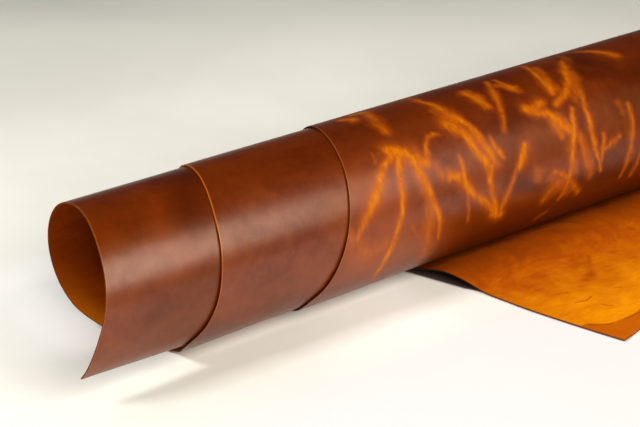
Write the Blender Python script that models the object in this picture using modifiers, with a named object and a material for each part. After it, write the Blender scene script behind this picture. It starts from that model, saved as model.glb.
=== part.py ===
"""A leather hide, rolled up almost three turns with its outer end lying loose.

One cut sheet. It is laid out flat as a grid and then wound up, so every size below is a real one.
Units are metres. +Z is up, +X runs along the roll and -Y is where the loose end lies.
The origin is on the surface that the roll rests on, under its axis and halfway along it.
"""
import math

import bmesh
import bpy

MM = 0.001

# ---- driving dimensions -------------------------------------------------------------------
THICKNESS = 1.3 * MM            # the leather
PITCH = 1.67 * MM               # from one turn to the next: the leather and the slack in it
ROLL_LENGTH = 815 * MM          # from the inner corner to the far end, along the axis
FAR_END_WANDER = 2 * MM         # the turns don't end quite flush there
FIRST_TURN_RADIUS = 66.85 * MM  # grain side of the innermost turn, at its top
AXIS_HEIGHT = 70 * MM
BOTTOM_RADIUS = 45 * MM         # where the wall turns into the flat spot that the roll rests on

# Winding angles are in degrees, from the top of the innermost turn: 90 is the far wall,
# 180 the bottom, 270 the near wall and 360 the top again.
INNER_END = -130
OUTER_END = 900
CORNER_LAG = 4                  # the inner end is cut a little askew at its corner
CORNER_WIDTH = 90 * MM
TURNS_BELOW_FIRST = 2           # the innermost bottom lies on two more
BOTTOM_ZONE = math.radians(40)  # outside this, either side of the bottom, a turn is round

# The hide's left edge: how far in from the inner corner it has come at each winding angle.
LEFT_EDGE_ON_ROLL = [
    {"angle": -130, "inset": 0.0},
    {"angle": -101, "inset": 5.5},
    {"angle": -66, "inset": 18.0},
    {"angle": -34, "inset": 26.0},
    {"angle": 0, "inset": 34.5},
    {"angle": 41, "inset": 40.0},
    {"angle": 95, "inset": 47.5},
    {"angle": 130, "inset": 58.0},
    {"angle": 155, "inset": 76.0},
    {"angle": 180, "inset": 94.0},
    {"angle": 200, "inset": 101.5},
    {"angle": 215, "inset": 98.5},
    {"angle": 226, "inset": 94.5},
    {"angle": 235, "inset": 96.5},
    {"angle": 250, "inset": 105.0},
    {"angle": 268, "inset": 112.5},
    {"angle": 295, "inset": 120.0},
    {"angle": 325, "inset": 128.0},
    {"angle": 361, "inset": 141.0},
    {"angle": 450, "inset": 171.0},
    {"angle": 500, "inset": 188.0},
    {"angle": 540, "inset": 208.0},
    {"angle": 562, "inset": 216.0},
    {"angle": 580, "inset": 211.0},
    {"angle": 592, "inset": 212.0},
    {"angle": 605, "inset": 220.0},
    {"angle": 637, "inset": 235.5},
    {"angle": 679, "inset": 252.5},
    {"angle": 734, "inset": 270.5},
    {"angle": 820, "inset": 303.0},
    {"angle": 900, "inset": 338.0},
]
# The same edge on the loose end, by how far it lies in front of the axis.
LEFT_EDGE_ON_FLAP = [
    {"reach": 0, "inset": 338.0},
    {"reach": 34, "inset": 350.0},
    {"reach": 61, "inset": 360.0},
    {"reach": 80, "inset": 368.5},
    {"reach": 103, "inset": 375.5},
    {"reach": 134, "inset": 384.5},
    {"reach": 176, "inset": 399.5},
    {"reach": 213, "inset": 414.0},
]
FLAP_REACH = 213 * MM           # from the axis to the outer corner
FLAP_CORNER_INSET = 415 * MM
FLAP_END_SLANT = 0.26           # the end edge runs back towards the roll by this much
HUMP_START = 13 * MM            # the loose end springs up off the surface beside the roll
HUMP_END = 98 * MM
HUMP_HEIGHT = 8.6 * MM

# Where fewer turns lie below, the leather sinks down to what it rests on.
SINK_ENDS = (195 * MM, 335 * MM)
SINK_LENGTH = 90 * MM

# ---- steps of the grid --------------------------------------------------------------------
DEGREES_PER_ROW = 5
ROLL_ROWS = (OUTER_END - INNER_END) // DEGREES_PER_ROW
FLAP_ROWS = 24
COLUMNS = 8


def eased(value):
    """0 to 1, with a level start and end."""
    value = min(max(value, 0.0), 1.0)
    return value * value * (3 - 2 * value)


def read_edge(rows, key, at):
    """The inset at a place on one of the edge tables, along a smooth curve through its rows."""
    places = [row[key] for row in rows]
    insets = [row["inset"] for row in rows]
    last = len(rows) - 1
    index = 0
    while index < last - 1 and at > places[index + 1]:
        index += 1

    def slope(i):
        low = max(i - 1, 0)
        high = min(i + 1, last)
        return (insets[high] - insets[low]) / (places[high] - places[low])

    span = places[index + 1] - places[index]
    t = (at - places[index]) / span
    start = (2 * t**3 - 3 * t**2 + 1) * insets[index]
    end = (3 * t**2 - 2 * t**3) * insets[index + 1]
    leaving = (t**3 - 2 * t**2 + t) * span * slope(index)
    arriving = (t**3 - t**2) * span * slope(index + 1)
    return (start + end + leaving + arriving) * MM


def right_edge(angle):
    """The inset of the far end at a winding angle: near enough straight."""
    turned = math.radians(angle)
    wave = math.sin(0.37 * turned) + 0.5 * math.sin(0.83 * turned + 1)
    return ROLL_LENGTH - FAR_END_WANDER * (1.5 + wave) / 3


def wall_distance(angle):
    """From the axis to the grain side at a winding angle, before the leather sinks."""
    radius = FIRST_TURN_RADIUS + PITCH * angle / 360
    off_bottom = abs(math.radians(angle % 360 - 180))
    if off_bottom > BOTTOM_ZONE:
        return radius
    turns_below = TURNS_BELOW_FIRST - min(max(math.floor(angle / 360), 0), TURNS_BELOW_FIRST)
    rest = turns_below * PITCH
    drop = AXIS_HEIGHT - rest
    corner = BOTTOM_RADIUS - rest
    half_flat = math.sqrt((radius - drop) * (radius + drop - 2 * corner))
    if off_bottom > math.atan2(half_flat, drop - corner):
        return radius
    if math.tan(off_bottom) * drop < half_flat:
        return drop / math.cos(off_bottom)
    along = half_flat * math.sin(off_bottom) + (drop - corner) * math.cos(off_bottom)
    across = half_flat * math.cos(off_bottom) - (drop - corner) * math.sin(off_bottom)
    return along + math.sqrt(corner**2 - across**2)


def sunk(inset, angle):
    """How far the leather has sunk at this inset: all of it at the bottom, none at the top."""
    turns = sum(1 - eased((inset - end + SINK_LENGTH) / SINK_LENGTH) for end in SINK_ENDS)
    return turns * PITCH * (1 - math.cos(math.radians(angle))) / 2


def on_roll(row, across):
    """The wound place of a point of the flat sheet: its row, and 0 to 1 from left to right."""
    angle = INNER_END + row * DEGREES_PER_ROW
    left = read_edge(LEFT_EDGE_ON_ROLL, "angle", angle)
    inset = left + (right_edge(angle) - left) * across
    askew = 1 - eased(inset / CORNER_WIDTH)
    askew *= 1 - eased((angle - INNER_END) / 60)
    angle += CORNER_LAG * askew
    distance = wall_distance(angle)
    turned = math.radians(angle)
    height = AXIS_HEIGHT + distance * math.cos(turned) - sunk(inset, angle)
    return inset, distance * math.sin(turned), height


def on_flap(share, across):
    """A point of the loose end: 0 to 1 from the roll to the end edge, and from left to right."""
    left = read_edge(LEFT_EDGE_ON_FLAP, "reach", share * FLAP_REACH / MM)
    inset = left + (right_edge(OUTER_END) - left) * across
    end = FLAP_REACH - FLAP_END_SLANT * (inset - FLAP_CORNER_INSET)
    reach = share * min(end, FLAP_REACH)
    rise = (reach - HUMP_START) / (HUMP_END - HUMP_START)
    rise = min(max(rise, 0.0), 1.0)
    height = HUMP_HEIGHT * math.sin(math.pi * rise) ** 2
    return inset, -reach, height


def make_hide(collection, material):
    """Lay the sheet out as a grid, wind it up and give it its thickness."""
    rows = ROLL_ROWS + FLAP_ROWS
    mesh = bpy.data.meshes.new("hide")
    sheet = bmesh.new()
    bmesh.ops.create_grid(sheet, x_segments=COLUMNS, y_segments=rows, size=0.5)
    for point in sheet.verts:
        across = point.co.x + 0.5
        row = round((point.co.y + 0.5) * rows)
        if row <= ROLL_ROWS:
            place = on_roll(row, across)
        else:
            place = on_flap((row - ROLL_ROWS) / FLAP_ROWS, across)
        point.co = (place[0] - ROLL_LENGTH / 2, place[1], place[2])
    sheet.to_mesh(mesh)
    sheet.free()
    mesh.shade_smooth()
    mesh.materials.append(material)
    hide = bpy.data.objects.new("hide", mesh)
    collection.objects.link(hide)
    solid = hide.modifiers.new("leather", "SOLIDIFY")
    solid.thickness = THICKNESS
    solid.offset = -1
    solid.use_even_offset = True
    return hide


def make_leather():
    """Waxed brown leather, deep and a little glossy."""
    material = bpy.data.materials.new("waxed_leather")
    material.use_nodes = True
    shader = material.node_tree.nodes["Principled BSDF"]
    shader.inputs["Base Color"].default_value = (0.17, 0.036, 0.008, 1)
    shader.inputs["Roughness"].default_value = 0.42
    shader.inputs["Metallic"].default_value = 0.0
    return material


def main():
    for thing in list(bpy.data.objects):
        bpy.data.objects.remove(thing, do_unlink=True)
    parts = bpy.data.collections.new("leather_hide")
    bpy.context.scene.collection.children.link(parts)
    make_hide(parts, make_leather())


main()
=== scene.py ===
"""The looks of a rolled leather hide: waxed pull-up grain outside, brushed orange flesh side inside."""
import math
from collections import namedtuple

import bpy
from mathutils import Matrix, Vector


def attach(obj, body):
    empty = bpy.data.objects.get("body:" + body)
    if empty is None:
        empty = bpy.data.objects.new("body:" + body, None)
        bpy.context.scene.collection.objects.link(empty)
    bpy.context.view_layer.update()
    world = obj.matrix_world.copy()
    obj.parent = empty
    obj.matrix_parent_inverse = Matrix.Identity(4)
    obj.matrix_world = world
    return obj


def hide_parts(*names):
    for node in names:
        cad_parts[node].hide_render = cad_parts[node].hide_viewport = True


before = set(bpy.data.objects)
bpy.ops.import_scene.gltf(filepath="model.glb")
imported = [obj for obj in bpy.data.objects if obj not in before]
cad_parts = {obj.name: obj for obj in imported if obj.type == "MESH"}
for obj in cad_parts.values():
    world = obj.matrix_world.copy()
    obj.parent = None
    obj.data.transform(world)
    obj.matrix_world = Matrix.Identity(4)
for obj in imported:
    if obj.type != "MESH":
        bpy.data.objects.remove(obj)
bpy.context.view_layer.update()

MM = 0.001

# ---- the hide, wound as its solid is ------------------------------------------------------
THICKNESS = 1.3 * MM
PITCH = 1.67 * MM
ROLL_LENGTH = 815 * MM
FAR_END_WANDER = 2 * MM
FIRST_TURN_RADIUS = 66.85 * MM
AXIS_HEIGHT = 70 * MM
BOTTOM_RADIUS = 45 * MM
INNER_END = -130
OUTER_END = 900
OUTER_TURN_TOP = 720
CORNER_LAG = 4
CORNER_WIDTH = 90 * MM
CORNER_TURN = 60
TURNS_BELOW_FIRST = 2
BOTTOM_ZONE = math.radians(40)
LEFT_EDGE_ON_ROLL = [
    {"angle": -130, "inset": 0.0},
    {"angle": -101, "inset": 5.5},
    {"angle": -66, "inset": 18.0},
    {"angle": -34, "inset": 26.0},
    {"angle": 0, "inset": 34.5},
    {"angle": 41, "inset": 40.0},
    {"angle": 95, "inset": 47.5},
    {"angle": 130, "inset": 58.0},
    {"angle": 155, "inset": 76.0},
    {"angle": 180, "inset": 94.0},
    {"angle": 200, "inset": 101.5},
    {"angle": 215, "inset": 98.5},
    {"angle": 226, "inset": 94.5},
    {"angle": 235, "inset": 96.5},
    {"angle": 250, "inset": 105.0},
    {"angle": 268, "inset": 112.5},
    {"angle": 295, "inset": 120.0},
    {"angle": 325, "inset": 128.0},
    {"angle": 361, "inset": 141.0},
    {"angle": 450, "inset": 171.0},
    {"angle": 500, "inset": 188.0},
    {"angle": 540, "inset": 208.0},
    {"angle": 562, "inset": 216.0},
    {"angle": 580, "inset": 211.0},
    {"angle": 592, "inset": 212.0},
    {"angle": 605, "inset": 220.0},
    {"angle": 637, "inset": 235.5},
    {"angle": 679, "inset": 252.5},
    {"angle": 734, "inset": 270.5},
    {"angle": 820, "inset": 303.0},
    {"angle": 900, "inset": 338.0},
]
LEFT_EDGE_ON_FLAP = [
    {"reach": 0, "inset": 338.0},
    {"reach": 34, "inset": 350.0},
    {"reach": 61, "inset": 360.0},
    {"reach": 80, "inset": 368.5},
    {"reach": 103, "inset": 375.5},
    {"reach": 134, "inset": 384.5},
    {"reach": 176, "inset": 399.5},
    {"reach": 213, "inset": 414.0},
]
FLAP_REACH = 213 * MM
FLAP_CORNER_INSET = 415 * MM
FLAP_END_SLANT = 0.26
HUMP_START = 13 * MM
HUMP_END = 98 * MM
HUMP_HEIGHT = 8.6 * MM
SINK_ENDS = (195 * MM, 335 * MM)
SINK_LENGTH = 90 * MM
HANG = 0.6 * MM                 # how far a turn's cut edge hangs off the turn beneath it
HANG_WIDTH = 35 * MM
HANG_SIDE = (228, 352)          # the degrees of a turn between which it hangs: its near side
HANG_EASING = (24, 90)          # the degrees that this takes to set in and to end
FREE_TURN_END = 200             # the innermost turn is free up to here, and doesn't hang
LIFT = 0.8 * MM                 # how far the loose end's left edge stands off the table
LIFT_WIDTH = 15 * MM

# ---- the fine mesh ------------------------------------------------------------------------
DEGREES_PER_ROW = 2
ROLL_ROWS = (OUTER_END - INNER_END) // DEGREES_PER_ROW
FLAP_ROWS = 60
COLUMNS = 78
COLUMN_CROWDING = 1.4           # columns are closer together towards the left edge
CUT_DEPTHS = (0.2, 0.8)
RIM_ROUNDING = 0.18 * MM
SHARP_ANGLE = math.radians(50)
SHEET_MAP = "sheet_place"       # metres on the unrolled hide, from the outer turn's top
EDGE_MAP = "edge_place"         # metres in from the left edge, and 0 to 1 from grain to flesh


def eased(value):
    """0 to 1, with a level start and end."""
    value = min(max(value, 0.0), 1.0)
    return value * value * (3 - 2 * value)


def read_edge(rows, key, at):
    """The inset at a place on one of the edge tables, along a smooth curve through its rows."""
    places = [row[key] for row in rows]
    insets = [row["inset"] for row in rows]
    last = len(rows) - 1
    index = 0
    while index < last - 1 and at > places[index + 1]:
        index += 1

    def slope(i):
        low = max(i - 1, 0)
        high = min(i + 1, last)
        return (insets[high] - insets[low]) / (places[high] - places[low])

    span = places[index + 1] - places[index]
    t = (at - places[index]) / span
    start = (2 * t**3 - 3 * t**2 + 1) * insets[index]
    end = (3 * t**2 - 2 * t**3) * insets[index + 1]
    leaving = (t**3 - 2 * t**2 + t) * span * slope(index)
    arriving = (t**3 - t**2) * span * slope(index + 1)
    return (start + end + leaving + arriving) * MM


def right_edge(angle):
    """The inset of the far end at a winding angle: near enough straight."""
    turned = math.radians(angle)
    wave = math.sin(0.37 * turned) + 0.5 * math.sin(0.83 * turned + 1)
    return ROLL_LENGTH - FAR_END_WANDER * (1.5 + wave) / 3


def wall_distance(angle):
    """From the axis to the grain side at a winding angle, before the leather sinks."""
    radius = FIRST_TURN_RADIUS + PITCH * angle / 360
    off_bottom = abs(math.radians(angle % 360 - 180))
    if off_bottom > BOTTOM_ZONE:
        return radius
    turns_below = TURNS_BELOW_FIRST - min(max(math.floor(angle / 360), 0), TURNS_BELOW_FIRST)
    rest = turns_below * PITCH
    drop = AXIS_HEIGHT - rest
    corner = BOTTOM_RADIUS - rest
    half_flat = math.sqrt((radius - drop) * (radius + drop - 2 * corner))
    if off_bottom > math.atan2(half_flat, drop - corner):
        return radius
    if math.tan(off_bottom) * drop < half_flat:
        return drop / math.cos(off_bottom)
    along = half_flat * math.sin(off_bottom) + (drop - corner) * math.cos(off_bottom)
    across = half_flat * math.cos(off_bottom) - (drop - corner) * math.sin(off_bottom)
    return along + math.sqrt(corner**2 - across**2)


def sunk(inset, angle):
    """How far the leather has sunk where fewer turns lie below it."""
    turns = sum(1 - eased((inset - end + SINK_LENGTH) / SINK_LENGTH) for end in SINK_ENDS)
    return turns * PITCH * (1 - math.cos(math.radians(angle))) / 2


def hanging(from_edge, angle):
    """How far an outer turn hangs off the one beneath, low on the near side by its cut edge."""
    if angle < FREE_TURN_END:
        return 0
    side = angle % 360
    low = eased((HANG_SIDE[1] - side) / HANG_EASING[1]) * eased((side - HANG_SIDE[0]) / HANG_EASING[0])
    return HANG * low * (1 - eased(from_edge / HANG_WIDTH))


def on_roll(angle, across):
    """The grain side's place at a winding angle, and 0 to 1 from the left edge to the right."""
    left = read_edge(LEFT_EDGE_ON_ROLL, "angle", angle)
    inset = left + (right_edge(angle) - left) * across
    askew = 1 - eased(inset / CORNER_WIDTH)
    askew *= 1 - eased((angle - INNER_END) / CORNER_TURN)
    angle += CORNER_LAG * askew
    distance = wall_distance(angle) + hanging(inset - left, angle)
    turned = math.radians(angle)
    height = AXIS_HEIGHT + distance * math.cos(turned) - sunk(inset, angle)
    return Vector((inset, distance * math.sin(turned), height))


def on_flap(share, across):
    """The grain side's place on the loose end, 0 to 1 from the roll to the end edge."""
    left = read_edge(LEFT_EDGE_ON_FLAP, "reach", share * FLAP_REACH / MM)
    inset = left + (right_edge(OUTER_END) - left) * across
    end = FLAP_REACH - FLAP_END_SLANT * (inset - FLAP_CORNER_INSET)
    reach = share * min(end, FLAP_REACH)
    rise = (reach - HUMP_START) / (HUMP_END - HUMP_START)
    rise = min(max(rise, 0.0), 1.0)
    height = HUMP_HEIGHT * math.sin(math.pi * rise) ** 2
    height += LIFT * eased(reach / HUMP_END) * (1 - eased((inset - left) / LIFT_WIDTH))
    return Vector((inset, -reach, height))


def grain_grid():
    """Rows of points on the grain side, from the inner end to the outer one."""
    shares = [(column / COLUMNS) ** COLUMN_CROWDING for column in range(COLUMNS + 1)]
    grid = []
    for row in range(ROLL_ROWS + 1):
        angle = INNER_END + row * DEGREES_PER_ROW
        grid.append([on_roll(angle, share) for share in shares])
    for row in range(1, FLAP_ROWS + 1):
        grid.append([on_flap(row / FLAP_ROWS, share) for share in shares])
    return grid


def flesh_grid(grain):
    """The same points on the flesh side, a leather's thickness further in."""
    last_row = len(grain) - 1
    inner = []
    for row, points in enumerate(grain):
        before = grain[max(row - 1, 0)]
        after = grain[min(row + 1, last_row)]
        line = []
        for column, point in enumerate(points):
            left = points[max(column - 1, 0)]
            right = points[min(column + 1, COLUMNS)]
            inward = (after[column] - before[column]).cross(right - left).normalized()
            line.append(point + inward * THICKNESS)
        inner.append(line)
    return inner


def sheet_places(grain):
    """Where each point lies on the unrolled hide: along the roll, and out from the top line."""
    middle = COLUMNS // 2
    lengths = [0.0]
    for row in range(1, len(grain)):
        step = grain[row][middle] - grain[row - 1][middle]
        lengths.append(lengths[-1] + math.hypot(step.y, step.z))
    top = lengths[(OUTER_TURN_TOP - INNER_END) // DEGREES_PER_ROW]
    places = []
    for row, points in enumerate(grain):
        for point in points:
            out = lengths[row] - top
            if row > ROLL_ROWS:
                out = lengths[ROLL_ROWS] - top - point.y
            places.append((point.x, out))
    return places


def edge_places(grain, depth):
    """How far each point lies in from the left edge, with its depth in the leather."""
    return [(point.x - points[0].x, depth) for points in grain for point in points]


def rim_of(rows, columns):
    """The grid's outer points in order, each with the next point inwards, as rows and columns."""
    rim = [(row, 0, row, 1) for row in range(rows)]
    rim += [(rows, column, rows - 1, column) for column in range(columns)]
    rim += [(row, columns, row, columns - 1) for row in range(rows, 0, -1)]
    rim += [(0, column, 1, column) for column in range(columns, 0, -1)]
    return rim


def cut_loops(grain, flesh, rim):
    """Two loops of points around the cut edge, which round it off towards either side."""
    loops = []
    for share in CUT_DEPTHS:
        loop = []
        for row, column, inner_row, inner_column in rim:
            outward = grain[row][column] - grain[inner_row][inner_column]
            point = grain[row][column].lerp(flesh[row][column], share)
            loop.append(point + outward.normalized() * RIM_ROUNDING)
        loops.append(loop)
    return loops


def make_hide(grain_finish, flesh_finish, edge_finish):
    """The whole hide as one closed mesh, with a finish each for grain, flesh and cut edge."""
    grain = grain_grid()
    flesh = flesh_grid(grain)
    rows = len(grain) - 1
    width = COLUMNS + 1
    count = (rows + 1) * width
    rim = rim_of(rows, COLUMNS)
    rim_places = [row * width + column for row, column, *inner in rim]
    points = [point for line in grain for point in line]
    points += [point for line in flesh for point in line]
    places = sheet_places(grain)
    places += places
    edges = edge_places(grain, 0) + edge_places(grain, 1)
    strips = [rim_places]
    for loop, depth in zip(cut_loops(grain, flesh, rim), CUT_DEPTHS):
        strips.append(list(range(len(points), len(points) + len(loop))))
        points += loop
        places += [places[index] for index in rim_places]
        edges += [(edges[index][0], depth) for index in rim_places]
    strips.append([index + count for index in rim_places])
    faces = []
    finishes = []
    for row in range(rows):
        for column in range(COLUMNS):
            a = row * width + column
            faces.append((a, a + 1, a + 1 + width, a + width))
            faces.append((a + width + count, a + 1 + width + count, a + 1 + count, a + count))
            finishes += [0, 1]
    for upper, lower in zip(strips, strips[1:]):
        for index in range(len(rim)):
            after = (index + 1) % len(rim)
            faces.append((upper[index], upper[after], lower[after], lower[index]))
            finishes.append(2)
    mesh = bpy.data.meshes.new("hide_leather")
    half = Vector((ROLL_LENGTH / 2, 0, 0))
    mesh.from_pydata([point - half for point in points], [], faces)
    mesh.polygons.foreach_set("material_index", finishes)
    for name, found in ((SHEET_MAP, places), (EDGE_MAP, edges)):
        layer = mesh.uv_layers.new(name=name)
        corners = [number for loop in mesh.loops for number in found[loop.vertex_index]]
        layer.uv.foreach_set("vector", corners)
    for finish in (grain_finish, flesh_finish, edge_finish):
        mesh.materials.append(finish)
    mesh.shade_smooth()
    mesh.set_sharp_from_angle(angle=SHARP_ANGLE)
    hide = bpy.data.objects.new("hide_leather", mesh)
    bpy.context.scene.collection.objects.link(hide)
    return hide


# ---- materials ----------------------------------------------------------------------------
class Value:
    """A socket of a material, which takes part in Python expressions and adds its Math nodes."""

    def __init__(self, finish, socket):
        self.finish = finish
        self.socket = socket

    def _with(self, operation, first, second):
        return self.finish.math(operation, first, second)

    def __add__(self, other):
        return self._with("ADD", self, other)

    def __radd__(self, other):
        return self._with("ADD", other, self)

    def __sub__(self, other):
        return self._with("SUBTRACT", self, other)

    def __rsub__(self, other):
        return self._with("SUBTRACT", other, self)

    def __mul__(self, other):
        return self._with("MULTIPLY", self, other)

    def __rmul__(self, other):
        return self._with("MULTIPLY", other, self)


class Finish:
    """A material being made: its nodes, and the Principled shader that shows them."""

    def __init__(self, name, **constants):
        self.material = bpy.data.materials.new(name)
        self.material.use_nodes = True
        self.tree = self.material.node_tree
        self.shader = self.tree.nodes["Principled BSDF"]
        for socket, value in constants.items():
            self.shader.inputs[socket.replace("_", " ")].default_value = value

    def add(self, kind, settings=None, inputs=None, output=0):
        """A node of any kind: its settings first, then the values and links of its sockets."""
        node = self.tree.nodes.new(kind)
        for name, value in (settings or {}).items():
            setattr(node, name, value)
        for socket, value in (inputs or {}).items():
            self._feed(node.inputs[socket], value)
        return Value(self, node.outputs[output])

    def _feed(self, socket, value):
        if isinstance(value, Value):
            self.tree.links.new(value.socket, socket)
        else:
            socket.default_value = value

    def show(self, **links):
        for socket, value in links.items():
            self._feed(self.shader.inputs[socket.replace("_", " ")], value)
        return self.material

    def math(self, operation, first, second=0.5, third=0.5):
        return self.add("ShaderNodeMath", {"operation": operation}, {0: first, 1: second, 2: third})

    def exp(self, power):
        return self.math("EXPONENT", power)

    def sheet_place(self):
        """The place on the unrolled hide in metres, with 1 as its third coordinate."""
        flat = self.add("ShaderNodeUVMap", {"uv_map": SHEET_MAP})
        return self.vector("ADD", flat, (0, 0, 1))

    def edge_place(self, axis):
        """How far in from the left edge for axis 0, or the depth in the leather for axis 1."""
        return self.part(self.add("ShaderNodeUVMap", {"uv_map": EDGE_MAP}), axis)

    def part(self, place, axis):
        """One coordinate of a place."""
        return self.add("ShaderNodeSeparateXYZ", None, {0: place}, axis)

    def wavered(self, place, scale, amount):
        """A place moved a little to and fro, so that what is drawn there gets a natural course."""
        waver = self.vector("SUBTRACT", self.noise(place, scale, 1, output=1), (0.5, 0.5, 0.5))
        return self.vector("MULTIPLY_ADD", waver, (2 * amount, 2 * amount, 0), place)

    def noise(self, place, scale, detail=2.0, roughness=0.5, distortion=0.0, output=0):
        sockets = {"Vector": place, "Scale": scale, "Detail": detail, "Roughness": roughness,
                   "Distortion": distortion}
        return self.add("ShaderNodeTexNoise", None, sockets, output)

    def vector(self, operation, first, second=(0, 0, 0), third=(0, 0, 0), output=0):
        return self.add("ShaderNodeVectorMath", {"operation": operation},
                        {0: first, 1: second, 2: third}, output)

    def ramp(self, value, low, high, to_low=0.0, to_high=1.0):
        """value eased from low..high to to_low..to_high."""
        sockets = {"Value": value, "From Min": low, "From Max": high, "To Min": to_low,
                   "To Max": to_high}
        return self.add("ShaderNodeMapRange", {"interpolation_type": "SMOOTHSTEP"}, sockets)

    def mix(self, share, first, second, blend="MIX"):
        settings = {"data_type": "RGBA", "blend_type": blend}
        return self.add("ShaderNodeMix", settings, {0: share, 6: first, 7: second}, 2)

    def bump(self, height, distance, strength=1.0, normal=None):
        sockets = {"Height": height, "Distance": distance, "Strength": strength}
        if normal is not None:
            sockets["Normal"] = normal
        return self.add("ShaderNodeBump", None, sockets)


# ---- strokes ------------------------------------------------------------------------------
# Strokes lie on the unrolled hide. Each has its strength and its course: mm along the roll, mm out
# from the top of the outer turn towards the loose end, and the stroke's half-width there.
Stroke = namedtuple("Stroke", "strength course")

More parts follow.
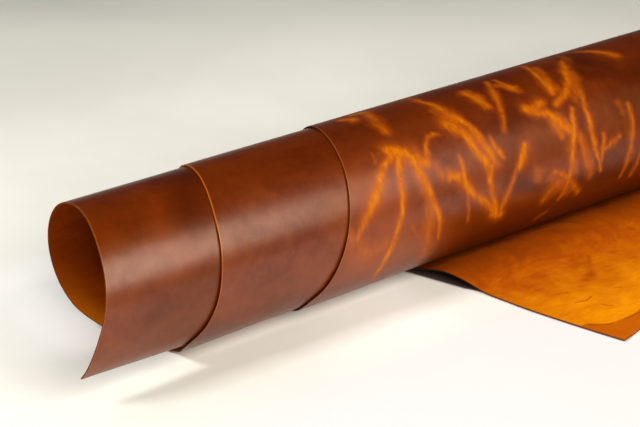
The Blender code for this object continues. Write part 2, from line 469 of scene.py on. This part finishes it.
# The grain where bending has drawn the wax out of it.
PULL_UP = [
    # Two marks near the top, and a faint one down from them to the first hub.
    Stroke(0.80, [(297, 17, 3), (303, 12, 5)]),
    Stroke(0.75, [(312, 22, 4), (323, 20, 5)]),
    Stroke(0.32, [(322, 16, 4), (319, 5, 5), (316, -8, 5), (315, -18, 4)]),
    # The first hub.
    Stroke(1.00, [(303, -38, 5), (310, -43, 6.5), (318, -44, 3.5)]),
    Stroke(0.45, [(302, -38, 5), (309, -45, 9), (318, -46, 7)]),
    # Its left ray.
    Stroke(0.75, [(302, -44, 4), (291, -51, 3), (282, -60, 4)]),
    Stroke(0.90, [(282, -60, 4.5), (269, -74, 5), (261, -81, 3.5)]),
    Stroke(0.55, [(261, -81, 4), (254, -89, 3.5), (247, -99, 2)]),
    # Its middle ray.
    Stroke(0.80, [(307, -47, 3), (303, -61, 3), (299, -77, 3)]),
    Stroke(0.95, [(299, -77, 2.5), (295, -90, 2.5), (291, -101, 2.5), (286, -115, 2.6),
                  (280, -128, 2.4)]),
    Stroke(0.80, [(280, -128, 2.4), (277, -140, 2.2), (276, -154, 1.8)]),
    # Its right ray, with a hook.
    Stroke(0.85, [(314, -43, 4), (321, -51, 5), (331, -58, 4.5)]),
    Stroke(0.75, [(321, -53, 4.5), (322, -64, 4), (324, -73, 3), (327, -84, 2.5), (331, -97, 2.5),
                  (335, -110, 2.5), (336, -126, 1.5)]),
    Stroke(0.60, [(333, -58, 3.5), (338, -45, 2), (345, -39, 2), (352, -37, 2), (357, -39, 1.5)]),
    Stroke(0.30, [(340, -63, 3), (344, -75, 3)]),
    # Faint marks around it.
    Stroke(0.40, [(287, -36, 1), (286, -45, 1.5)]),
    Stroke(0.30, [(304, -105, 1.5), (312, -117, 1.5)]),
    Stroke(0.30, [(324, -95, 4.5), (322, -114, 6), (328, -145, 5)]),
    Stroke(0.24, [(238, -95, 7), (259, -117, 8), (279, -114, 6)]),
    # The long bow from the top down to the second hub, in two strands.
    Stroke(0.50, [(373, 28, 1.5), (374, 8, 3), (378, -5, 3.5), (380, -16, 4.5), (383, -28, 5)]),
    Stroke(0.66, [(371, -31, 5), (378, -38, 5.5), (381, -43, 4.5)]),
    Stroke(0.90, [(381, -42, 3.5), (382, -53, 3.5), (386, -63, 3.5), (391, -72, 4), (393, -77, 4)]),
    Stroke(0.82, [(393, -77, 3.5), (392, -88, 2.5), (393, -103, 2.5), (399, -121, 3.5)]),
    Stroke(0.75, [(384, -26, 3.5), (391, -37, 2.5), (393, -48, 3), (397, -62, 3), (399, -73, 3)]),
    Stroke(0.60, [(405, -53, 1.5), (406, -63, 2.5), (410, -72, 2)]),
    # The second hub.
    Stroke(0.85, [(396, -120, 4), (403, -123, 4)]),
    # Its left ray, forked at its end.
    Stroke(0.80, [(399, -121, 3.5), (387, -108, 3), (375, -97, 3), (368, -89, 3.5), (364, -83, 4)]),
    Stroke(0.72, [(364, -83, 4), (359, -77, 3.5), (351, -75, 4.5)]),
    Stroke(0.75, [(365, -84, 2.5), (365, -75, 2.5), (366, -61, 1.5)]),
    Stroke(0.50, [(368, -91, 2), (366, -103, 1.5), (366, -119, 1.5)]),
    # Its right ray.
    Stroke(0.50, [(401, -121, 4), (406, -112, 3), (414, -99, 2), (423, -86, 2)]),
    Stroke(0.88, [(425, -85, 2.5), (431, -79, 3.5), (437, -70, 3)]),
    # Marks along the top, right of the bow.
    Stroke(0.50, [(416, -3, 4), (420, -9, 5), (421, -24, 3.5)]),
    Stroke(0.42, [(449, 7, 2), (440, -11, 4), (431, -32, 2.5), (422, -52, 2)]),
    Stroke(0.62, [(457, 7, 1.5), (458, -4, 2), (461, -12, 3), (467, -12, 1.5)]),
    Stroke(0.60, [(505, 28, 1.5), (502, 11, 2), (496, -4, 2.5), (495, -14, 3)]),
    Stroke(0.80, [(495, -16, 3.5), (495, -26, 4), (493, -31, 2.5)]),
    Stroke(0.50, [(537, 5, 1.5), (526, -11, 3), (517, -26, 3.5), (507, -35, 3.5), (488, -43, 3)]),
    Stroke(0.42, [(565, 16, 2), (576, 8, 3), (583, -1, 4), (588, -11, 3.5)]),
    # The third hub, and the strand that runs down from it.
    Stroke(0.88, [(456, -40, 4), (461, -43, 4.5)]),
    Stroke(0.55, [(462, -41, 4), (475, -36, 3.5)]),
    Stroke(0.78, [(460, -45, 2.5), (473, -48, 3), (478, -54, 4), (482, -60, 5), (491, -69, 3)]),
    Stroke(0.50, [(478, -58, 4.5), (480, -70, 2.5)]),
    # Long strands to the right of it, and the small ones between and below them.
    Stroke(0.76, [(502, -52, 2), (495, -65, 3), (490, -78, 2.5), (486, -91, 2.5), (483, -102, 2.5),
                  (482, -113, 2)]),
    Stroke(0.45, [(482, -113, 2), (480, -123, 2), (475, -129, 1.5)]),
    Stroke(0.72, [(522, -39, 1.5), (516, -53, 2), (515, -65, 2.5), (514, -75, 2.5),
                  (515, -90, 2.5), (521, -114, 1.5)]),
    Stroke(0.36, [(496, -74, 3), (501, -89, 4), (509, -114, 3)]),
    Stroke(0.50, [(527, -81, 2), (525, -91, 3), (519, -110, 1.5)]),
    Stroke(0.42, [(545, -86, 2), (536, -90, 3), (527, -94, 2.5)]),
    Stroke(0.50, [(564, -62, 2), (563, -77, 2), (560, -92, 2), (557, -104, 2), (550, -128, 1.5)]),
    Stroke(0.45, [(570, -106, 1.5), (567, -119, 2), (565, -131, 1.5)]),
    Stroke(0.50, [(464, -99, 2), (474, -104, 3), (481, -109, 2.5)]),
    Stroke(0.30, [(455, -125, 3), (461, -117, 4), (473, -110, 3.5)]),
    Stroke(0.35, [(486, -113, 2), (497, -128, 2.5)]),
    Stroke(0.22, [(458, -147, 2.5), (466, -143, 2)]),
    # The right end.
    Stroke(0.20, [(650, -10, 3), (662, -40, 4), (658, -80, 3), (650, -110, 2)]),
    Stroke(0.45, [(610, -70, 3), (622, -100, 3), (618, -140, 2)]),
    Stroke(0.60, [(680, 15, 2), (700, -20, 4), (730, -40, 4), (745, -75, 2)]),
    Stroke(0.80, [(700, -22, 5), (694, -60, 4), (702, -100, 2)]),
    Stroke(0.50, [(770, -30, 3), (760, -70, 3), (772, -120, 2)]),
    # The back of the roll.
    Stroke(0.80, [(360, 70, 4), (372, 95, 5), (380, 120, 3)]),
    Stroke(0.70, [(380, 60, 3), (410, 85, 4), (450, 92, 3), (480, 118, 2)]),
    Stroke(0.90, [(520, 50, 5), (512, 80, 4), (498, 120, 3), (495, 160, 2)]),
    Stroke(0.60, [(512, 82, 4), (540, 110, 3), (552, 150, 2)]),
    Stroke(0.70, [(620, 40, 3), (650, 62, 4), (664, 100, 3), (660, 140, 2)]),
    Stroke(0.50, [(700, 60, 3), (690, 95, 4), (702, 135, 2)]),
    Stroke(0.80, [(740, 90, 4), (756, 120, 4), (750, 160, 2)]),
]
THIN_STROKE = 2.6               # below this half-width, in millimetres, a stroke grows faint
FAINTER_PER_MM = 0.8            # by this many half-widths off it for each millimetre

# Broad hazes of orange around the streaks.
HAZE = [
    Stroke(0.40, [(300, -42, 9), (325, -50, 9)]),
    Stroke(0.35, [(320, -70, 7), (330, -105, 7)]),
    Stroke(0.45, [(372, -12, 6), (382, -40, 8)]),
    Stroke(0.50, [(383, -43, 7), (398, -62, 8), (402, -78, 5)]),
    Stroke(0.60, [(419, 0, 5), (423, -14, 7), (421, -24, 4)]),
    Stroke(0.55, [(452, -3, 5), (464, -18, 5)]),
    Stroke(0.55, [(455, -41, 6), (475, -50, 8), (489, -71, 7)]),
    Stroke(0.45, [(444, -96, 8), (486, -121, 8)]),
    Stroke(0.45, [(479, -53, 7), (486, -85, 8), (491, -118, 6)]),
    Stroke(0.50, [(506, 6, 5), (498, -28, 7)]),
    Stroke(0.40, [(500, -80, 6), (510, -110, 6)]),
    Stroke(0.50, [(545, 12, 6), (530, -10, 8), (514, -44, 7)]),
    Stroke(0.35, [(555, -60, 6), (560, -110, 5)]),
]

# Broad soft dark areas: thick dark wax between the outer turn's streaks, and painted shade on the
# turns' tops, beside the middle turn's edge and low by the loose end.
DARK_WAX_AND_SHADE = [
    # The outer turn: its top, painted shade; then between its streaks, thick wax; then its lower side
    # by the loose end, painted shade.
    Stroke(0.42, [(262, -8, 34), (815, -14, 38)]),
    Stroke(0.50, [(385, 12, 20), (470, 4, 18), (520, -2, 12)]),
    Stroke(0.80, [(550, 2, 20), (575, -36, 18), (640, -34, 30), (815, -20, 40)]),
    Stroke(0.60, [(430, -45, 16), (475, -40, 12)]),
    Stroke(0.70, [(540, -20, 14), (590, -38, 14)]),
    Stroke(0.70, [(560, -60, 22), (620, -60, 25)]),
    Stroke(0.80, [(414, -98, 11), (455, -108, 13), (547, -124, 14)]),
    Stroke(0.55, [(360, -125, 20), (640, -128, 22)]),
    Stroke(0.95, [(385, -163, 52), (815, -165, 56)]),
    # The middle turn's top, painted shade.
    Stroke(0.45, [(120, -447, 40), (300, -447, 40)]),
    # The innermost turn, painted shade: its top, beside the middle turn's edge, and its near side.
    Stroke(0.45, [(0, -872, 42), (60, -875, 42)]),
    Stroke(0.80, [(134, -856, 36), (108, -898, 24)]),
    Stroke(0.50, [(60, -962, 18), (112, -955, 26)]),
    Stroke(0.45, [(80, -980, 26), (112, -1000, 28)]),
]

# Where the wax has sunk in and left no gloss: the turns' tops and their lower sides.
DRY_WAX = [
    Stroke(0.85, [(262, -3, 24), (815, -3, 24)]),
    Stroke(0.85, [(262, 22, 18), (815, 22, 18)]),
    Stroke(0.90, [(120, -441, 26), (300, -441, 26)]),
    Stroke(0.90, [(0, -884, 34), (30, -880, 30), (60, -872, 26), (200, -872, 26)]),
    Stroke(0.85, [(215, -165, 54), (400, -165, 54)]),
    Stroke(0.85, [(90, -596, 46), (240, -596, 46)]),
    Stroke(0.62, [(0, -1016, 42), (120, -1016, 42)]),
]

# Where the brown is warmer: three places on the outer turn, and the inner end.
WARM_WAX = [
    Stroke(0.60, [(260, -60, 20), (284, -98, 26)]),
    Stroke(0.70, [(250, -122, 26), (330, -128, 30)]),
    Stroke(0.55, [(395, -106, 24), (480, -106, 24)]),
    Stroke(0.25, [(20, -1000, 22), (150, -1000, 22)]),
]

# Fine creases, their shade painted in as dark lines, and dark rubs on the flesh side of the loose end,
# and the strip along its end edge.
CREASES = [
    Stroke(0.80, [(422, 348, 0.8), (432, 351, 1)]),
    Stroke(0.90, [(425, 368, 0.8), (434, 370, 1.2), (443, 368, 0.8)]),
    Stroke(0.70, [(442, 382, 1), (447, 388, 1)]),
    Stroke(0.60, [(470, 368, 0.8), (477, 370, 1)]),
    Stroke(0.80, [(407, 402, 1), (424, 409, 1.2), (455, 411, 1.2), (520, 396, 1)]),
    Stroke(0.80, [(556, 301, 1.5), (560, 305, 1.5)]),
]
RUBS = [
    Stroke(0.80, [(464, 258, 10), (478, 280, 10)]),
    Stroke(0.50, [(490, 300, 3), (505, 300, 4)]),
    Stroke(0.40, [(520, 292, 6), (560, 300, 5)]),
    Stroke(0.80, [(491, 316, 4), (475, 333, 7), (462, 344, 5)]),
]
END_STRIP = [
    Stroke(1.00, [(405, 420, 21), (424, 424, 15), (455, 418, 10), (815, 322, 12)]),
]

# Where the cut edges of the two outer turns are painted raw orange near their tops: their lit part,
# against the black lower down, which is partly painted shade.
RAW_LIT_RIM = [
    Stroke(0.95, [(128, -478, 16), (142, -437, 30), (152, -400, 30)]),
    Stroke(0.35, [(258, -34, 12), (270, 0, 22)]),
]

# Painted shade on the table in the gap under the loose end's hump, in mm from the middle of the roll.
UNDER_HUMP_SHADE = [
    Stroke(1.00, [(-59, -18, 8), (-46, -45, 9), (-36, -70, 8), (-27, -90, 5)]),
]


def faintness(width, thin):
    """What a stroke loses where it runs out thinner than this, in half-widths off it."""
    return max(0.0, thin - width) * FAINTER_PER_MM


def stroke_field(finish, place, strokes, thin=0.0):
    """How far off the strokes a place on the hide is, in squared half-widths: 0 on a full one."""
    depth = None
    for stroke in strokes:
        for start, end in zip(stroke.course, stroke.course[1:]):
            first = Vector((start[0], start[1], 0)) * MM
            last = Vector((end[0], end[1], 0)) * MM
            run = (last - first) / (last - first).length_squared
            # place has 1 as its third coordinate, so one product gives the share of the run.
            share = finish.vector("DOT_PRODUCT", place, (run.x, run.y, -run.dot(first)), output=1)
            first.z = 1 + faintness(start[2], thin) * start[2] * MM
            last.z = 1 + faintness(end[2], thin) * end[2] * MM
            nearest = finish.add("ShaderNodeMix", {"data_type": "VECTOR"},
                                 {0: share, 4: first, 5: last}, 1)
            tightness = finish.add("ShaderNodeMix", {"data_type": "FLOAT"},
                                   {0: share, 2: (start[2] * MM) ** -2, 3: (end[2] * MM) ** -2})
            off = finish.vector("SUBTRACT", place, nearest)
            squared = finish.vector("DOT_PRODUCT", off, off, output=1)
            faded = finish.math("MULTIPLY_ADD", squared, tightness, -math.log(stroke.strength))
            depth = faded if depth is None else finish.math("MINIMUM", depth, faded)
    return depth


def cover(finish, place, strokes, falloff=1.0):
    """How much the strokes show at a place: by their strength on them, and less and less off them."""
    return finish.exp(stroke_field(finish, place, strokes) * -falloff)


# ---- the leather's finishes ---------------------------------------------------------------
# Places out on the hide, in metres from the outer turn's top.
MIDDLE_TURN_LOW = -0.62         # the middle turn's cut edge, by the table
MIDDLE_TURN_HIGH = -0.46        # the same edge, near its top
FAR_SIDE = (-0.40, -0.30)       # out of view, between the middle turn's edge and the outer one's

DEEP_BROWN = (0.080, 0.0078, 0.0, 1)
RED_BROWN = (0.135, 0.0185, 0.0, 1)
LIGHT_BROWN = (0.165, 0.0260, 0.0, 1)
BLACK_BROWN = (0.055, 0.0048, 0.0, 1)
WARM_BROWN = (0.200, 0.031, 0.0, 1)
THICK_WAX_AND_SHADE = (0.040, 0.0035, 0.0, 1)
EMBER = (0.240, 0.037, 0.0, 1)
HAZE_ORANGE = (0.320, 0.060, 0.0, 1)
STREAK_ORANGE = (0.34, 0.072, 0.0, 1)
STREAK_GOLD = (0.44, 0.118, 0.0, 1)
RUBBED_AND_LIT_RIM = (0.40, 0.095, 0.003, 1)


def waxed_brown(finish, bent, cloud, fine_cloud, dark):
    """The grain's brown: cloudy, warmer in places, darker where the wax lies thick and where shade is
    painted in.
    """
    brown = finish.mix(finish.ramp(cloud, 0.3, 0.7), DEEP_BROWN, RED_BROWN)
    brown = finish.mix(finish.ramp(fine_cloud, 0.38, 0.70, 0, 0.38), brown, LIGHT_BROWN)
    brown = finish.mix(finish.ramp(fine_cloud, 0.46, 0.30, 0, 0.25), brown, BLACK_BROWN)
    brown = finish.mix(cover(finish, bent, WARM_WAX), brown, WARM_BROWN)
    return finish.mix(dark, brown, THICK_WAX_AND_SHADE)


def streaked(finish, bent, fibres, brown, glow, streak):
    """The brown with its pull-up: a glow and a haze of orange, and the streaks' bright cores."""
    haze = cover(finish, bent, HAZE, 0.7)
    haze = haze * finish.ramp(finish.noise(bent, 60, 2, 0.5), 0.30, 0.65, 0.5, 1.2)
    around = finish.mix(finish.ramp(glow, 0.05, 0.95), brown, EMBER)
    around = finish.mix(finish.ramp(haze, 0.10, 0.80, 0, 0.68), around, HAZE_ORANGE)
    core = finish.mix(finish.ramp(fibres, 0.35, 0.65), STREAK_ORANGE, STREAK_GOLD)
    return finish.mix(finish.ramp(streak, 0.12, 1.05), around, core)


def rubbed_and_lit_rim(finish, out):
    """The left rim's rubbed wax and painted highlight: least on the innermost turn, half on the outer.
    """
    rubbed = finish.ramp(finish.edge_place(0), 0.3 * MM, 1.2 * MM, 0.75, 0.0)
    rubbed = rubbed * finish.ramp(out, MIDDLE_TURN_LOW, MIDDLE_TURN_HIGH, 0.35, 1)
    return rubbed * finish.ramp(out, *FAR_SIDE, 1, 0.5)


def grain_relief(finish, place):
    """The grain's bumps: broad waves, marks drawn out along the roll, and pores."""
    waves = finish.noise(place, 16, 2, 0.5)
    drawn = finish.noise(finish.vector("MULTIPLY", place, (0.3, 1, 1)), 70, 4, 0.6)
    pores = finish.noise(place, 1400, 3, 0.6)
    normal = finish.bump(waves, 4 * MM, 0.6)
    normal = finish.bump(drawn, 0.7 * MM, 0.7, normal)
    return finish.bump(pores, 0.1 * MM, 0.25, normal)


def make_grain():
    """Waxed pull-up grain: deep red-brown, with orange streaks where it has been bent."""
    finish = Finish("waxed_grain", Specular_IOR_Level=0.38, Specular_Tint=(1, 0.45, 0.05, 1),
                    Coat_Roughness=0.31, Coat_IOR=1.8)
    place = finish.sheet_place()
    bent = finish.wavered(place, 36, 3 * MM)
    bent = finish.wavered(bent, 130, 1 * MM)
    depth = stroke_field(finish, bent, PULL_UP, THIN_STROKE)
    fibres = finish.noise(finish.vector("MULTIPLY", bent, (1, 0.45, 1)), 190, 5, 0.65, 0.3)
    glow = finish.exp(depth * -0.22) * finish.ramp(fibres, 0.30, 0.70, 0.65, 1.1)
    streak = finish.exp(depth * -0.70) * finish.ramp(fibres, 0.25, 0.65, 0.78, 1.05)
    cloud = finish.noise(place, 15, 4, 0.6)
    fine_cloud = finish.noise(place, 75, 5, 0.68)
    # Thick dark wax, and painted shade on the turns' tops, by the middle turn's edge and low by the
    # loose end.
    dark = cover(finish, bent, DARK_WAX_AND_SHADE)
    brown = waxed_brown(finish, bent, cloud, fine_cloud, dark)
    colour = streaked(finish, bent, fibres, brown, glow, streak)
    # A lighter line along the left rim: partly wax rubbed off, partly a painted highlight where the rim
    # catches the light.
    colour = finish.mix(rubbed_and_lit_rim(finish, finish.part(place, 1)), colour, RUBBED_AND_LIT_RIM)
    # The coat of wax is thickest at the left, and thin where it is drawn out, dark or dry.
    wax = finish.ramp(finish.part(place, 0), 0.30, 0.65, 0.47, 0.16)
    wax = wax * finish.ramp(streak, 0.1, 0.8, 1.0, 0.3) * (1 - dark * 0.5)
    wax = wax * (1 - cover(finish, place, DRY_WAX))
    wax = wax * finish.ramp(fine_cloud, 0.30, 0.70, 0.88, 1.10)
    rough = finish.ramp(glow, 0.1, 0.8, 0.40, 0.50) + finish.ramp(cloud, 0.3, 0.7, -0.03, 0.04)
    return finish.show(Base_Color=colour, Roughness=rough, Coat_Weight=wax,
                       Normal=grain_relief(finish, place))


# The roll's mouth: light and shade painted into the flesh side's colour.
MOUTH_TOP_SHADE = (0.26, 0.038, 0.001, 1)
MOUTH_WALL_SHADE = (0.19, 0.027, 0.001, 1)
MOUTH_FLOOR_LIT = (0.44, 0.105, 0.001, 1)
MOUTH_DEEP_SHADE = (0.03, 0.003, 0.0, 1)
MOUTH_RIM_LIT = (0.62, 0.165, 0.001, 1)
BETWEEN_TURNS_SHADE = (0.06, 0.009, 0.001, 1)
FLESH_IN_ROLL_SHADOW = (0.13, 0.019, 0.001, 1)
FLESH_SHADOW_EDGE = (0.36, 0.064, 0.001, 1)
FLESH_BRIGHT = (0.65, 0.215, 0.001, 1)
BRUSHED_DARK = (0.34, 0.055, 0.001, 1)
RUBBED_DARK = (0.27, 0.038, 0.001, 1)
STRIP_BROWN = (0.36, 0.066, 0.001, 1)
CREASE_SHADE_BROWN = (0.25, 0.04, 0.001, 1)


def mouth_colour(finish, out):
    """The mouth's flesh side: painted shade, lighter at the top, deepest further in, with painted light
    low down.
    """
    rim = finish.edge_place(0)
    inside = finish.mix(finish.ramp(out, -0.86, -0.80), MOUTH_TOP_SHADE, MOUTH_WALL_SHADE)
    inside = finish.mix(finish.ramp(out, -0.71, -0.64), inside, MOUTH_FLOOR_LIT)
    inside = finish.mix(finish.ramp(rim, 0.02, 0.08, 0, 0.30), inside, MOUTH_DEEP_SHADE)
    lit = finish.ramp(rim, 0.0, 0.03, 0.55, 0) * finish.ramp(out, -0.75, -0.68)
    return finish.mix(lit, inside, MOUTH_RIM_LIT)


def make_flesh():
    """The flesh side: dyed orange, brushed and mottled, with a short nap; the roll's shadow painted in
    towards the roll.
    """
    finish = Finish("brushed_flesh", Roughness=0.95, Specular_IOR_Level=0.02)
    place = finish.sheet_place()
    bent = finish.wavered(place, 30, 10 * MM)
    out = finish.part(bent, 1)
    cloud = finish.noise(place, 24, 6, 0.65, 0.8)
    brushed = finish.noise(finish.vector("MULTIPLY", bent, (0.35, 1, 1)), 90, 5, 0.7, 0.5)
    reach = out + cloud * 0.12 + brushed * 0.05
    # Beyond the mouth, between the turns, the flesh side is painted dark as shade.
    under = finish.mix(finish.ramp(out, -0.640, -0.625), mouth_colour(finish, out), BETWEEN_TURNS_SHADE)
    # The roll's shadow painted onto the loose end: darkest by the roll, easing out to the flap's bright
    # orange.
    near = finish.mix(finish.ramp(out, 0.0, 0.22), under, FLESH_IN_ROLL_SHADOW)
    dark = finish.mix(finish.ramp(reach, 0.31, 0.42), near, FLESH_SHADOW_EDGE)
    colour = finish.mix(finish.ramp(reach, 0.37, 0.50), dark, FLESH_BRIGHT)
    colour = finish.mix(finish.ramp(brushed, 0.38, 0.62, 0.22, 0.0), colour, BRUSHED_DARK)
    rub = cover(finish, finish.wavered(place, 60, 8 * MM), RUBS)
    rub = rub * finish.ramp(brushed, 0.3, 0.6, 1.1, 0.5)
    colour = finish.mix(finish.ramp(rub, 0.05, 0.8, 0, 0.8), colour, RUBBED_DARK)
    strip = cover(finish, finish.wavered(place, 25, 3 * MM), END_STRIP)
    colour = finish.mix(finish.ramp(strip, 0.30, 0.42, 0, 0.85), colour, STRIP_BROWN)
    # The creases' shade, painted in as dark lines.
    crease = cover(finish, finish.wavered(place, 90, 3 * MM), CREASES)
    colour = finish.mix(finish.ramp(crease, 0.05, 0.9, 0, 0.7), colour, CREASE_SHADE_BROWN)
    nap = finish.noise(place, 900, 4, 0.7)
    normal = finish.bump(brushed, 1 * MM, 0.5)
    normal = finish.bump(nap, 0.2 * MM, 0.5, normal)
    return finish.show(Base_Color=colour, Normal=normal)


CUT_BROWN = ((0.09, 0.017, 0.002, 1), (0.17, 0.038, 0.004, 1))
CUT_BLACK_AND_SHADE = ((0.012, 0.004, 0.001, 1), (0.04, 0.010, 0.001, 1))
CUT_LOOSE = (0.15, 0.042, 0.010, 1)
CUT_RAW_LIT = (0.34, 0.080, 0.004, 1)
CUT_RUBBED_AND_LIT = (0.30, 0.062, 0.003, 1)


def make_cut_edge():
    """The raw cut: brown on the innermost turn, further out burnished black that also paints in shade.
    """
    finish = Finish("cut_edge", Roughness=0.8, Specular_IOR_Level=0.1)
    place = finish.sheet_place()
    out = finish.part(place, 1)
    fibres = finish.noise(place, 500, 4, 0.7)
    mottle = finish.ramp(fibres, 0.35, 0.65)
    brown = finish.mix(mottle, *CUT_BROWN)
    # Further out the cut is burnished black, which also paints in the shade it lies in.
    black = finish.mix(mottle, *CUT_BLACK_AND_SHADE)
    colour = finish.mix(finish.ramp(out, -0.66, -0.60), brown, black)
    colour = finish.mix(finish.ramp(out, 0.28, 0.34, 0, 0.8), colour, CUT_LOOSE)
    # Near their tops the outer turns' cuts are painted orange, where the light falls on them.
    raw = cover(finish, place, RAW_LIT_RIM)
    colour = finish.mix(finish.ramp(raw, 0.1, 0.8, 0, 0.9), colour, CUT_RAW_LIT)
    # A lighter line by the grain side: partly wax rubbed off, partly a painted highlight where the rim
    # catches the light.
    rubbed = finish.ramp(finish.edge_place(1), 0.05, 0.20, 0.35, 0.0)
    rubbed = rubbed * finish.ramp(out, -0.66, -0.60, 0.5, 1)
    colour = finish.mix(rubbed, colour, CUT_RUBBED_AND_LIT)
    return finish.show(Base_Color=colour, Normal=finish.bump(fibres, 0.3 * MM, 0.5))


# ---- the table ----------------------------------------------------------------------------
TABLE_SIZE = 12
TABLE_GAP = 0.2 * MM            # keeps the table's face from lying in the leather's
EDGE_OF_TABLE = TABLE_SIZE / 2
PAINT_THIN = (0.69, 0.685, 0.63, 1)
PAINT_THICK = (0.765, 0.755, 0.705, 1)
FAR_PAINTED_SHADE = (0.40, 0.41, 0.37, 1)
GAP_SHADE = (0.060, 0.039, 0.039, 1)

# Where light and shade are painted into the table, lighter or darker: how much, and four places along
# and across the table in metres from the middle of the roll, between which it sets in and between which
# it ends again.
Tone = namedtuple("Tone", "colour share along across")
WHOLE = (-EDGE_OF_TABLE - 1, -EDGE_OF_TABLE, EDGE_OF_TABLE, EDGE_OF_TABLE + 1)
# Painted shade towards the back of the table and towards its right.
BACK_SHADE = Tone((0.44, 0.44, 0.40, 1), 0.5, WHOLE, (0.28, 0.55, *WHOLE[2:]))
RIGHT_SHADE = Tone((0.44, 0.44, 0.40, 1), 0.35, (0.1, 0.5, *WHOLE[2:]), WHOLE)
NEAR_LIGHT_AND_SHADE = [
    # In front: darker, painted shade.
    Tone((0.66, 0.645, 0.668, 1), 0.8, WHOLE, (*WHOLE[:2], -0.16, -0.08)),
    # Beside the roll, left of the loose end: lighter, painted light in the roll's shadow.
    Tone((0.87, 0.855, 0.825, 1), 0.7, (-0.24, -0.12, -0.10, -0.06), (-0.14, -0.07, 0.0, 0.06)),
    # Right where the roll touches it: lighter, painted light in the shade under the roll.
    Tone((0.96, 0.94, 0.88, 1), 1.0, (-0.33, -0.27, -0.10, -0.06), (-0.046, -0.024, 0.0, 0.06)),
    # Behind the roll's mouth: lighter, painted light in the roll's shadow.
    Tone((0.97, 0.96, 0.93, 1), 1.0, (-0.43, -0.34, -0.32, -0.28), (0.0, 0.05, 0.12, 0.20)),
    Tone((0.97, 0.95, 0.90, 1), 1.0, (-0.385, -0.345, -0.31, -0.28), (0.0, 0.03, 0.08, 0.12)),
]


def between(finish, value, limits):
    """1 between the middle two limits, easing to 0 at the outer two."""
    return finish.ramp(value, limits[0], limits[1]) * finish.ramp(value, limits[2], limits[3], 1, 0)


def toned(finish, colour, along, across, tone):
    """The colour with one tone laid over it."""
    area = between(finish, along, tone.along) * between(finish, across, tone.across)
    return finish.mix(area * tone.share, colour, tone.colour)


def make_floor_paint():
    """A pale painted table top with faint brush marks, and light and shade painted into it."""
    finish = Finish("pale_table", Roughness=0.6, Specular_IOR_Level=0.3)
    place = finish.add("ShaderNodeTexCoord", None, None, 3)
    along = finish.part(place, 0)
    across = finish.part(place, 1)
    wash = finish.noise(place, 2.5, 4, 0.6)
    marks = finish.noise(place, 18, 5, 0.6, 0.8)
    colour = finish.mix(finish.ramp(wash, 0.35, 0.65), PAINT_THIN, PAINT_THICK)
    # Painted shade towards the back and the right.
    colour = toned(finish, colour, along, across, BACK_SHADE)
    colour = toned(finish, colour, along, across, RIGHT_SHADE)
    # Darker beyond a slanting line far behind the roll, most of all at its left: painted shade.
    beyond = finish.ramp(along * 0.534 + across * 0.845, 0.46, 0.59, 0, 0.75)
    beyond = beyond * finish.ramp(along, 0.02, 0.20, 1, 0.3)
    colour = finish.mix(beyond, colour, FAR_PAINTED_SHADE)
    # Painted light and shade around the roll.
    for tone in NEAR_LIGHT_AND_SHADE:
        colour = toned(finish, colour, along, across, tone)
    # Painted shade in the gap under the hump.
    gap = cover(finish, finish.vector("ADD", place, (0, 0, 1)), UNDER_HUMP_SHADE)
    colour = finish.mix(finish.ramp(gap, 0.25, 0.6), colour, GAP_SHADE)
    return finish.show(Base_Color=colour, Normal=finish.bump(marks, 2 * MM, 0.2))


# ---- stage, lights and camera -------------------------------------------------------------
CAMERA_PLACE = Vector((-664.1 * MM - ROLL_LENGTH / 2, -1135.8 * MM, 820.7 * MM))
CAMERA_PITCH = math.radians(27.155)
CAMERA_HEADING = math.radians(39.271)
CAMERA_ROLL = math.radians(2.556)
CAMERA_LENS = 112.5
SENSOR_WIDTH = 36

ROOM_COLOUR = (0.96, 0.97, 0.97, 1)
ROOM_STRENGTH = 0.05

Box = namedtuple("Box", "name place aim size watts colour")
SOFT_BOXES = [
    Box("front_box", (-0.20, -2.35, 1.97), (-0.20, 0, 0.07), (3.8, 2.0), 166, (1, 0.94, 0.86)),
    Box("left_box", (-2.2, 0.19, 1.9), (-0.3, 0, 0), (0.6, 0.6), 53, (0.97, 0.97, 0.96)),
    Box("top_box", (-1.3, 1.3, 2.2), (-0.2, 0.5, 0), (1.6, 1.6), 13, (0.96, 0.97, 0.96)),
]


def make_camera():
    camera = bpy.data.objects.new("camera", bpy.data.cameras.new("camera"))
    camera.data.lens = CAMERA_LENS
    camera.data.sensor_width = SENSOR_WIDTH
    turn = Matrix.Rotation(-CAMERA_HEADING, 4, "Z")
    tip = Matrix.Rotation(math.pi / 2 - CAMERA_PITCH, 4, "X")
    roll = Matrix.Rotation(CAMERA_ROLL, 4, "Z")
    camera.matrix_world = Matrix.Translation(CAMERA_PLACE) @ turn @ tip @ roll
    bpy.context.scene.collection.objects.link(camera)
    bpy.context.scene.camera = camera


def make_light(box):
    light = bpy.data.lights.new(box.name, "AREA")
    light.shape = "RECTANGLE"
    light.size, light.size_y = box.size
    light.energy = box.watts
    light.color = box.colour
    lamp = bpy.data.objects.new(box.name, light)
    lamp.location = box.place
    facing = Vector(box.aim) - Vector(box.place)
    lamp.rotation_euler = facing.to_track_quat("-Z", "Y").to_euler()
    bpy.context.scene.collection.objects.link(lamp)


def make_stage():
    bpy.ops.mesh.primitive_plane_add(size=TABLE_SIZE, location=(0, 0, -TABLE_GAP))
    floor = bpy.context.object
    floor.name = "table_top"
    floor.data.materials.append(make_floor_paint())
    world = bpy.data.worlds.new("room")
    bpy.context.scene.world = world
    world.use_nodes = True
    backdrop = world.node_tree.nodes["Background"]
    backdrop.inputs["Color"].default_value = ROOM_COLOUR
    backdrop.inputs["Strength"].default_value = ROOM_STRENGTH
    for box in SOFT_BOXES:
        make_light(box)
    bpy.context.scene.view_settings.view_transform = "Standard"


make_camera()
make_stage()
hide = make_hide(make_grain(), make_flesh(), make_cut_edge())
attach(hide, "root")
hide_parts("hide")
